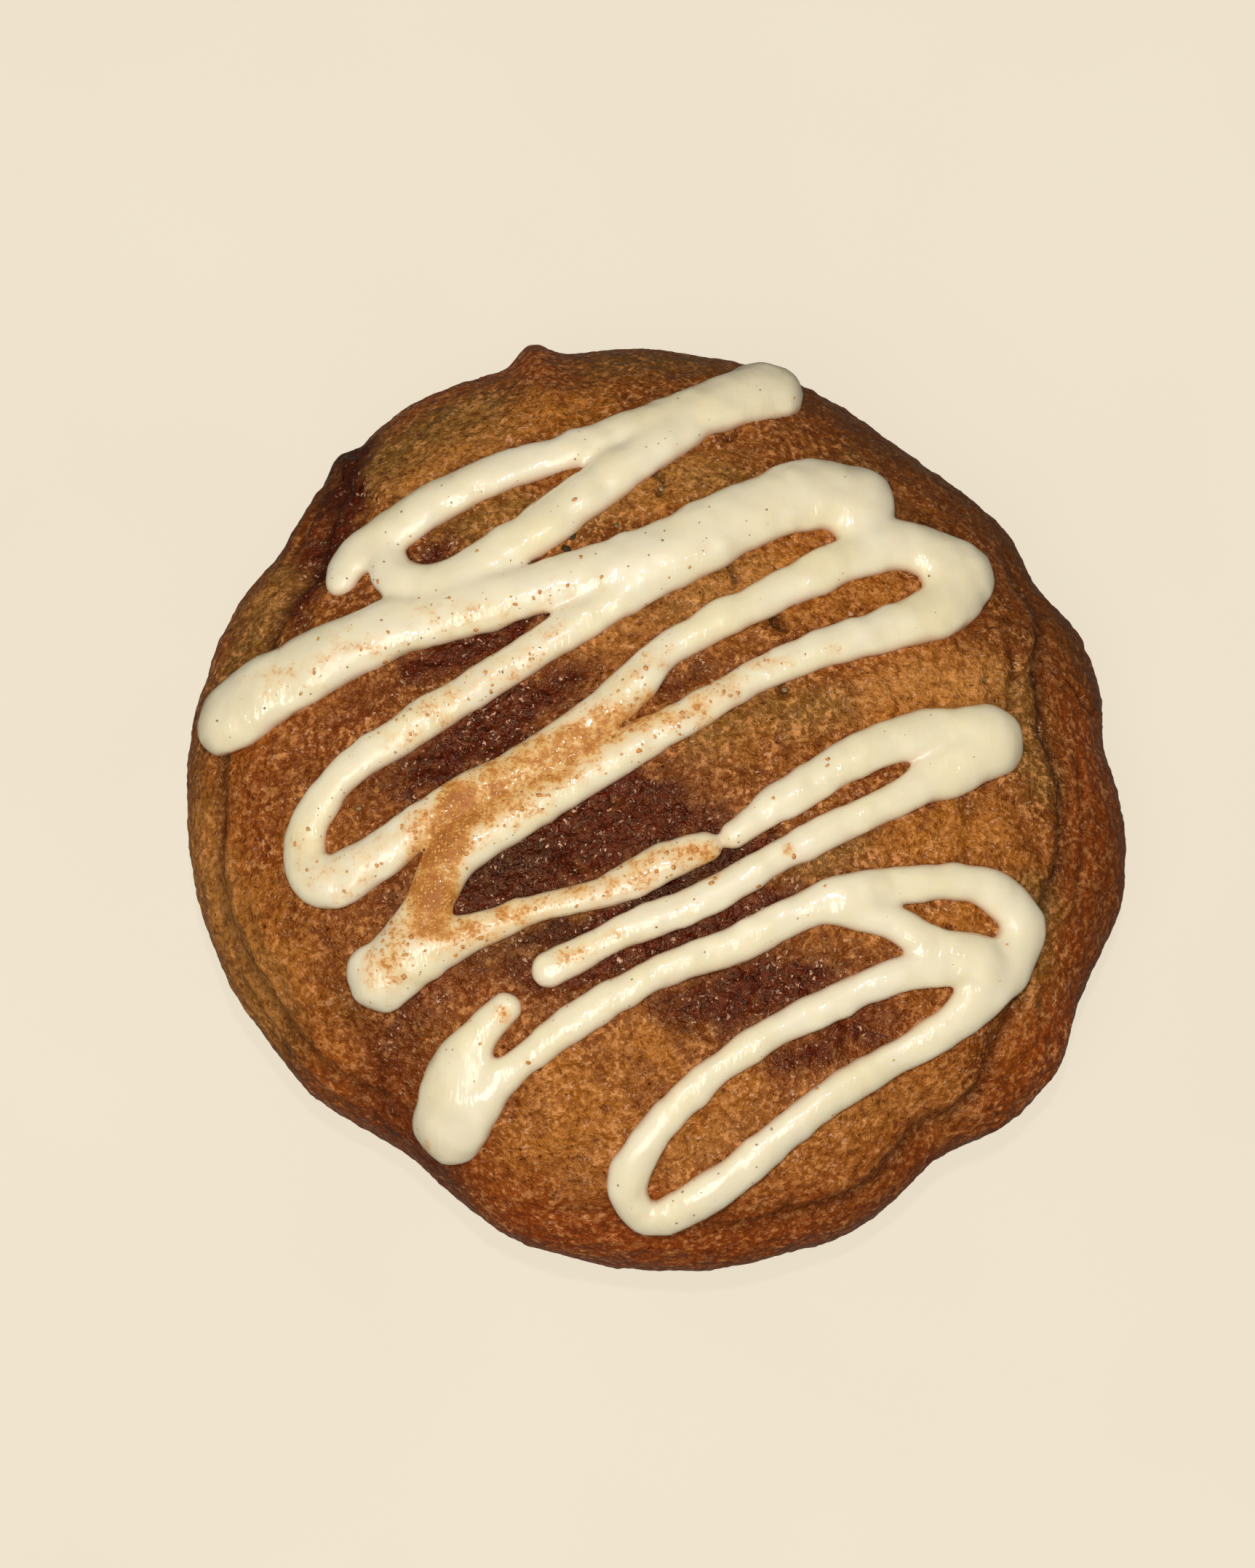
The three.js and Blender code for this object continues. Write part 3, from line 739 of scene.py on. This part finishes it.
# ---- Cinnamon flakes and specks ----
def pebble_shape():
    """A small faceted ball: an icosahedron's points and triangles."""
    golden = (1 + 5 ** 0.5) / 2
    corners = []
    for a, b in itertools.product((-1, 1), (-golden, golden)):
        corners += [(0, a, b), (a, b, 0), (b, 0, a)]
    corners = np.array(corners) / np.hypot(1, golden)
    near = 1.1
    faces = []
    for trio in itertools.combinations(range(12), 3):
        p = corners[list(trio)]
        if all(np.linalg.norm(p[k] - p[k - 1]) < near for k in range(3)):
            outward = np.dot(np.cross(p[1] - p[0], p[2] - p[0]), p[0]) > 0
            faces.append(trio if outward else trio[::-1])
    return corners, np.array(faces)


def scattered(name, places, normals, radii, flatness, material):
    """One joined mesh of small uneven grains, each lying on its place."""
    corners, faces = pebble_shape()
    all_points = []
    all_faces = []
    shades = []
    for place, normal, radius in zip(places, normals, radii):
        side = np.cross(normal, rng.normal(size=3))
        side /= np.linalg.norm(side)
        across = np.cross(normal, side)
        uneven = corners * rng.uniform(0.6, 1.25, (len(corners), 1))
        stretch = radius * rng.uniform(0.7, 1.4)
        grain = (uneven[:, :1] * side * stretch + uneven[:, 1:2] * across * radius
                 + uneven[:, 2:] * normal * radius * flatness)
        all_faces.append(faces + len(corners) * len(all_points))
        all_points.append(place + grain)
        shade = radius / DARK_GRAIN_RADIUS * rng.uniform(0.6, 1.3)
        shades.append(np.full(len(corners), shade))
    return new_piece(name, np.concatenate(all_points), np.concatenate(all_faces),
                     {"shade": np.concatenate(shades)}, material)


def make_cinnamon(icing_points, icing_normals, above, dust, flake_material, burnt_material):
    """Grains on the upper side of the icing, most where the dust is thick, and burnt specks."""
    upper = (above > LOWEST_GRAIN) & (icing_normals[:, 2] > 0.4)
    weight = np.where(upper, dust ** 1.6 + 0.004, 0)
    picked = rng.choice(len(weight), FLAKE_COUNT, replace=False, p=weight / weight.sum())
    radii = 0.08 + 0.22 * rng.uniform(0, 1, FLAKE_COUNT) ** 2
    scattered("cinnamon_flakes", icing_points[picked], icing_normals[picked], radii,
              FLAKE_FLATNESS, flake_material)

    left = upper & (icing_points[:, 0] < SPECKLED_TO)
    weight = np.where(left, 1.0, np.where(upper, 0.12, 0))
    picked = rng.choice(len(weight), SPECK_COUNT, replace=False, p=weight / weight.sum())
    places = icing_points[picked]
    normals = icing_normals[picked]
    radii = 0.06 + 0.09 * rng.uniform(0, 1, SPECK_COUNT) ** 2
    burnt = np.array(BURNT_SPECKS)
    burnt_places = np.column_stack([burnt[:, :2], top_height(burnt[:, 0], burnt[:, 1])])
    places = np.concatenate([places, burnt_places])
    normals = np.concatenate([normals, top_normal(burnt[:, 0], burnt[:, 1])])
    scattered("burnt_specks", places, normals, np.concatenate([radii, burnt[:, 2]]),
              SPECK_FLATNESS, burnt_material)


# ---- Materials ----
def linear(red, green, blue):
    """A shader colour from screen values of 0 to 255."""
    return tuple((c / 255) ** 2.2 for c in (red, green, blue)) + (1,)


def add_node(tree, kind, inputs=(), **settings):
    """A new shader node. Each input is a value, or a socket to link from."""
    node = tree.nodes.new(kind)
    for name, value in settings.items():
        setattr(node, name, value)
    for key, value in dict(inputs).items():
        if isinstance(value, bpy.types.NodeSocket):
            tree.links.new(value, node.inputs[key])
        else:
            node.inputs[key].default_value = value
    return node


def attribute(tree, name):
    return add_node(tree, "ShaderNodeAttribute", attribute_name=name).outputs["Fac"]


def mix(tree, factor, first, second):
    inputs = {0: factor, 6: first, 7: second}
    return add_node(tree, "ShaderNodeMix", inputs, data_type="RGBA").outputs[2]


def calculate(tree, operation, a, b, clamp=False):
    return add_node(tree, "ShaderNodeMath", {0: a, 1: b}, operation=operation,
                    use_clamp=clamp).outputs[0]


def product(tree, first, *others):
    for other in others:
        first = calculate(tree, "MULTIPLY", first, other)
    return first


def stretch(tree, value, low, high, to_low=0.0, to_high=1.0):
    """A value moved from one range to another, and kept inside it."""
    inputs = {"Value": value, "From Min": low, "From Max": high, "To Min": to_low, "To Max": to_high}
    return add_node(tree, "ShaderNodeMapRange", inputs, clamp=True).outputs[0]


def millimetres(tree, scale=(1, 1, 1)):
    """The place on the object in millimetres, scaled along each axis."""
    coordinates = add_node(tree, "ShaderNodeTexCoord").outputs["Object"]
    return add_node(tree, "ShaderNodeMapping", {
        "Vector": coordinates,
        "Scale": tuple(s / MM for s in scale),
    }).outputs["Vector"]


def noise_fac(tree, vector, per_mm, detail=3.0, roughness=0.55):
    return add_node(tree, "ShaderNodeTexNoise", {
        "Vector": vector, "Scale": per_mm, "Detail": detail, "Roughness": roughness,
    }).outputs["Fac"]


def bump(tree, height, distance, under=None, strength=1.0, invert=False):
    """A normal tilted by a height of up to the distance in millimetres, over another normal."""
    inputs = {"Strength": strength, "Distance": distance * MM, "Height": height}
    if under is not None:
        inputs["Normal"] = under
    return add_node(tree, "ShaderNodeBump", inputs, invert=invert).outputs["Normal"]


def warped(tree, vector, per_mm, reach):
    """The same places, shifted unevenly by as much as the reach in millimetres."""
    noise = add_node(tree, "ShaderNodeTexNoise", {"Vector": vector, "Scale": per_mm, "Detail": 2.0})
    inputs = {0: noise.outputs["Color"], 1: (reach, reach, reach), 2: vector}
    return add_node(tree, "ShaderNodeVectorMath", inputs, operation="MULTIPLY_ADD").outputs[0]


def random_cells(tree, vector, per_mm):
    """Distance from the nearest of many scattered points, and a random value of that point."""
    cells = add_node(tree, "ShaderNodeTexVoronoi", {"Vector": vector, "Scale": per_mm})
    parts = add_node(tree, "ShaderNodeSeparateColor", {"Color": cells.outputs["Color"]})
    return cells.outputs["Distance"], parts.outputs["Red"]


def new_material(name):
    material = bpy.data.materials.new(name)
    material.use_nodes = True
    tree = material.node_tree
    return material, tree, tree.nodes["Principled BSDF"]


def dough_material():
    material, tree, shader = new_material("baked_dough")
    place = millimetres(tree)
    blotch = noise_fac(tree, place, 0.13, 4)
    mottle = noise_fac(tree, place, 0.55, 4, 0.6)
    uneven = warped(tree, place, 1.6, 1.2)
    _, crumb_tone = random_cells(tree, uneven, 1.5)
    grain = calculate(tree, "ADD", noise_fac(tree, place, 1.5, 3, 0.6),
                      stretch(tree, crumb_tone, 0, 1, -0.09, 0.09))
    cluster = stretch(tree, noise_fac(tree, place, 0.35, 3), 0.4, 0.6)
    from_pore, _ = random_cells(tree, place, 1.25)
    pores = product(tree, stretch(tree, from_pore, 0.1, 0.24, 1, 0),
                    stretch(tree, noise_fac(tree, place, 0.4, 2), 0.5, 0.62))

    golden = calculate(tree, "ADD", attribute(tree, "golden"),
                       stretch(tree, blotch, 0.3, 0.7, -0.3, 0.4))
    golden = calculate(tree, "ADD", golden, stretch(tree, mottle, 0.3, 0.7, -0.4, 0.4), clamp=True)
    crust = mix(tree, golden, linear(125, 65, 20), linear(172, 102, 34))
    for name, share, tone in (("red", 0.6, (142, 60, 14)), ("rim", 0.7, (146, 60, 5)),
                              ("olive", 0.9, (122, 92, 40)), ("pale", 0.6, (200, 134, 64))):
        crust = mix(tree, product(tree, attribute(tree, name), share), crust, linear(*tone))
    pale_grain = product(tree, stretch(tree, grain, 0.5, 0.66), stretch(tree, cluster, 0, 1, 0.3, 0.85))
    crust = mix(tree, pale_grain, crust, linear(218, 146, 84))
    dark_grain = product(tree, stretch(tree, grain, 0.48, 0.34), stretch(tree, cluster, 0, 1, 0.75, 0.35))
    crust = mix(tree, dark_grain, crust, linear(100, 42, 12))

    broken = calculate(tree, "ADD", attribute(tree, "filling"),
                       stretch(tree, mottle, 0.3, 0.7, -0.3, 0.3))
    filled = stretch(tree, broken, 0.1, 0.95)
    dark = mix(tree, stretch(tree, noise_fac(tree, place, 1.4, 3, 0.6), 0.35, 0.65),
               linear(54, 12, 2), linear(94, 28, 4))
    colour = mix(tree, filled, crust, dark)
    # Painted shade: where the painted shade areas lie, the crust and the filling turn darker.
    painted_shade = product(tree, attribute(tree, "painted_shade"), 0.75)
    colour = mix(tree, painted_shade, colour, mix(tree, filled, linear(80, 46, 8), linear(38, 11, 3)))
    # Painted shade in the creases and pits; in the deepest pits it also stands for burnt dark spots.
    shadowed = calculate(tree, "MAXIMUM", product(tree, pores, 0.6),
                         product(tree, attribute(tree, "crease"), 0.7))
    colour = mix(tree, shadowed, colour, linear(50, 22, 11))
    # Painted glints: pale specks in the colour where highlights sparkle on the wet crust, also used as
    # tiny bumps.
    from_glint_spot, glint_spot_size = random_cells(tree, uneven, 2)
    from_glint_spot = calculate(tree, "DIVIDE", from_glint_spot, stretch(tree, glint_spot_size, 0.4, 1, 0.01, 1))
    painted_glint = product(tree, stretch(tree, from_glint_spot, 0.25, 0.5, 1, 0), stretch(tree, cluster, 0, 1, 0.3, 1),
                    stretch(tree, filled, 0, 1, 0.5, 0.85),
                    stretch(tree, attribute(tree, "rim"), 0, 0.8, 1, 0.4))
    colour = mix(tree, painted_glint, colour, linear(246, 194, 156))

    grain = product(tree, grain, stretch(tree, attribute(tree, "rim"), 0, 0.6, 1, 0.4))
    normal = bump(tree, mottle, 0.8)
    normal = bump(tree, pores, 0.15, normal, strength=0.8, invert=True)
    normal = bump(tree, grain, 0.34, normal)
    normal = bump(tree, painted_glint, 0.08, normal)
    tree.links.new(colour, shader.inputs["Base Color"])
    tree.links.new(normal, shader.inputs["Normal"])
    wet = noise_fac(tree, place, 1.3, 3, 0.6)
    tree.links.new(stretch(tree, wet, 0.46, 0.58, 0.5, 0.18), shader.inputs["Roughness"])
    shader.inputs["Specular IOR Level"].default_value = 0.5
    shader.inputs["Specular Tint"].default_value = (1, 0.7, 0.4, 1)
    return material


def icing_material():
    material, tree, shader = new_material("icing")
    place = millimetres(tree)
    soft = noise_fac(tree, place, 0.12, 3)
    cream = mix(tree, stretch(tree, soft, 0.3, 0.7), linear(243, 232, 204), linear(241, 227, 186))
    edge = attribute(tree, "edge")
    # Near the dough the icing turns brown: partly crust seen through the thin edge, partly painted shade.
    colour = mix(tree, product(tree, edge, 0.7), cream, linear(204, 160, 126))

    dust = attribute(tree, "dust")
    dusty = stretch(tree, dust, 0.02, 0.2)
    clumps = stretch(tree, noise_fac(tree, place, 0.5, 3, 0.55), 0.34, 0.66, -0.45, 0.4)
    powder = noise_fac(tree, place, 2.2, 3, 0.65)
    amount = calculate(tree, "ADD", dust, clumps)
    thin = calculate(tree, "ADD", dust, product(tree, clumps, 0.5))
    glaze = product(tree, stretch(tree, thin, 0.15, 0.9, 0, 0.8), dusty)
    colour = mix(tree, glaze, colour, linear(232, 180, 100))
    amount = calculate(tree, "ADD", amount, stretch(tree, powder, 0.3, 0.7, -0.45, 0.45))
    grains = product(tree, stretch(tree, amount, 0.52, 1.15, 0, 0.95), dusty)
    film = mix(tree, stretch(tree, amount, 0.7, 1.7), linear(218, 152, 72), linear(172, 100, 34))
    colour = mix(tree, grains, colour, film)

    ripple = noise_fac(tree, millimetres(tree, (1, 0.35, 0.35)), 1.1, 2)
    ripple = product(tree, ripple, stretch(tree, noise_fac(tree, place, 0.12, 1), 0.44, 0.56, 0.35, 1))
    tree.links.new(colour, shader.inputs["Base Color"])
    tree.links.new(bump(tree, ripple, 0.05), shader.inputs["Normal"])
    tree.links.new(bump(tree, ripple, 0.3), shader.inputs["Coat Normal"])
    tree.links.new(stretch(tree, grains, 0, 0.6, 0.42, 0.65), shader.inputs["Roughness"])
    wet = stretch(tree, noise_fac(tree, place, 0.22, 2), 0.4, 0.6, 0.35, 1)
    wet = product(tree, wet, stretch(tree, grains, 0, 0.6, 1, 0.1))
    tree.links.new(wet, shader.inputs["Coat Weight"])
    shader.inputs["Specular IOR Level"].default_value = 0.35
    shader.inputs["Subsurface Weight"].default_value = 0.5
    shader.inputs["Subsurface Radius"].default_value = (1.6, 1.1, 0.6)
    shader.inputs["Subsurface Scale"].default_value = 0.8 * MM
    shader.inputs["Coat Roughness"].default_value = 0.08
    return material


def grain_material(name, pale, dark):
    material, tree, shader = new_material(name)
    mottle = noise_fac(tree, millimetres(tree), 2.5, 3)
    shade = calculate(tree, "ADD", attribute(tree, "shade"), stretch(tree, mottle, 0.3, 0.7, -0.3, 0.3),
                      clamp=True)
    tree.links.new(mix(tree, shade, pale, dark), shader.inputs["Base Color"])
    shader.inputs["Roughness"].default_value = 0.75
    shader.inputs["Specular IOR Level"].default_value = 0.15
    return material


# ---- Floor, lights and camera ----
def make_floor():
    half = FLOOR_HALF_WIDTH * MM
    mesh = bpy.data.meshes.new("floor")
    corners = [(-half, -half, 0), (half, -half, 0), (half, half, 0), (-half, half, 0)]
    mesh.from_pydata(corners, [], [(0, 1, 2, 3)])
    floor = bpy.data.objects.new("floor", mesh)
    bpy.context.scene.collection.objects.link(floor)
    material, tree, shader = new_material("floor_cream")
    cream = linear(239, 227, 205)
    faint = noise_fac(tree, millimetres(tree), 0.02, 2)
    tone = mix(tree, stretch(tree, faint, 0.3, 0.7), linear(96, 92, 82), linear(90, 84, 76))
    tree.links.new(tone, shader.inputs["Base Color"])
    shader.inputs["Roughness"].default_value = 0.9
    shader.inputs["Specular IOR Level"].default_value = 0
    shader.inputs["Emission Color"].default_value = cream
    shader.inputs["Emission Strength"].default_value = 0.88
    mesh.materials.append(material)
    floor.visible_diffuse = False
    floor.visible_glossy = False


def add_light(name, direction, distance, width, watts):
    """A square light that faces the roll's middle."""
    light = bpy.data.lights.new(name, "AREA")
    light.shape = "SQUARE"
    light.size = width * MM
    light.energy = watts
    lamp = bpy.data.objects.new(name, light)
    bpy.context.scene.collection.objects.link(lamp)
    towards = Vector(direction).normalized()
    lamp.location = Vector((0, 0, AIM_HEIGHT * MM)) + towards * distance * MM
    lamp.rotation_euler = towards.to_track_quat("Z", "Y").to_euler()
    lamp.visible_camera = False


def make_lights():
    add_light("front_soft", (-0.2, -0.48, 1), 600, 300, 1.7)
    add_light("top_small", (0, -0.04, 1), 520, 22, 1.15)
    world = bpy.data.worlds.new("studio")
    world.use_nodes = True
    sky = world.node_tree.nodes["Background"]
    sky.inputs["Color"].default_value = (1.0, 0.87, 0.68, 1)
    sky.inputs["Strength"].default_value = 0.17
    bpy.context.scene.world = world
    bpy.context.scene.view_settings.view_transform = "Standard"


def make_camera():
    elevation = np.radians(CAMERA_ELEVATION)
    forward = Vector((0, np.cos(elevation), -np.sin(elevation)))
    up = Vector((0, np.sin(elevation), np.cos(elevation)))
    right = Vector((1, 0, 0))
    aim = Vector((0, 0, AIM_HEIGHT))
    aim += (up * ROLL_BELOW_CENTRE - right * ROLL_RIGHT_OF_CENTRE) / PIXELS_PER_MM
    place = (aim - forward * CAMERA_DISTANCE) * MM
    data = bpy.data.cameras.new("camera")
    data.sensor_fit = "AUTO"
    data.sensor_width = 36
    data.lens = CAMERA_LENS
    data.clip_start = 10 * MM
    camera = bpy.data.objects.new("camera", data)
    bpy.context.scene.collection.objects.link(camera)
    turned = Matrix((right, up, -forward)).transposed().to_4x4()
    camera.matrix_world = Matrix.Translation(place) @ turned
    bpy.context.scene.camera = camera


make_camera()
make_lights()
make_floor()
make_dough(dough_material())
icing_parts = make_icing(icing_material())
make_cinnamon(*icing_parts,
              grain_material("cinnamon", linear(236, 176, 104), linear(208, 132, 62)),
              grain_material("burnt", linear(190, 160, 112), linear(66, 52, 34)))
